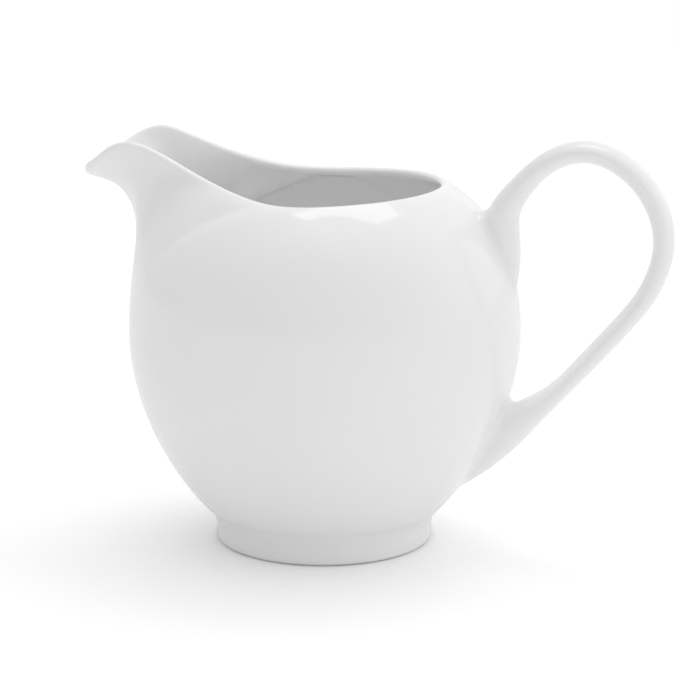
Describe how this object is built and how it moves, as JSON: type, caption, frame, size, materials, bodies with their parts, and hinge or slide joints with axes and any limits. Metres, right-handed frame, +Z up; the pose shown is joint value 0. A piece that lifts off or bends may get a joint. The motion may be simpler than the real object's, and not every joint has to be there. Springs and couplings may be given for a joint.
{
  "type": "cream jug",
  "caption": "Small round-bellied porcelain cream jug with a pulled spout, a loop handle and a low foot ring, for pouring cream or milk.",
  "frame": {"origin": "centre of the part's box in plan, at the height of the surface the jug stands on", "axes": "+Z up; +X towards the handle and -X towards the spout, both in the jug's mirror plane; +Y across"},
  "size_m": [0.1366, 0.0898, 0.0953],
  "materials": {
    "glazed_porcelain": "clear gloss glaze over white porcelain",
    "handle_porcelain": "clear gloss glaze over white porcelain",
    "foot_porcelain": "clear gloss glaze, wiped off the standing edge to bare porcelain",
    "luting_slip": "fired porcelain slip under the same clear glaze"
  },
  "bodies": {
    "root": {"body": "glazed_porcelain", "foot_ring": "foot_porcelain", "foot_slip": "luting_slip", "handle": "handle_porcelain", "upper_handle_slip": "luting_slip", "lower_handle_slip": "luting_slip"}
  },
  "joints": []
}
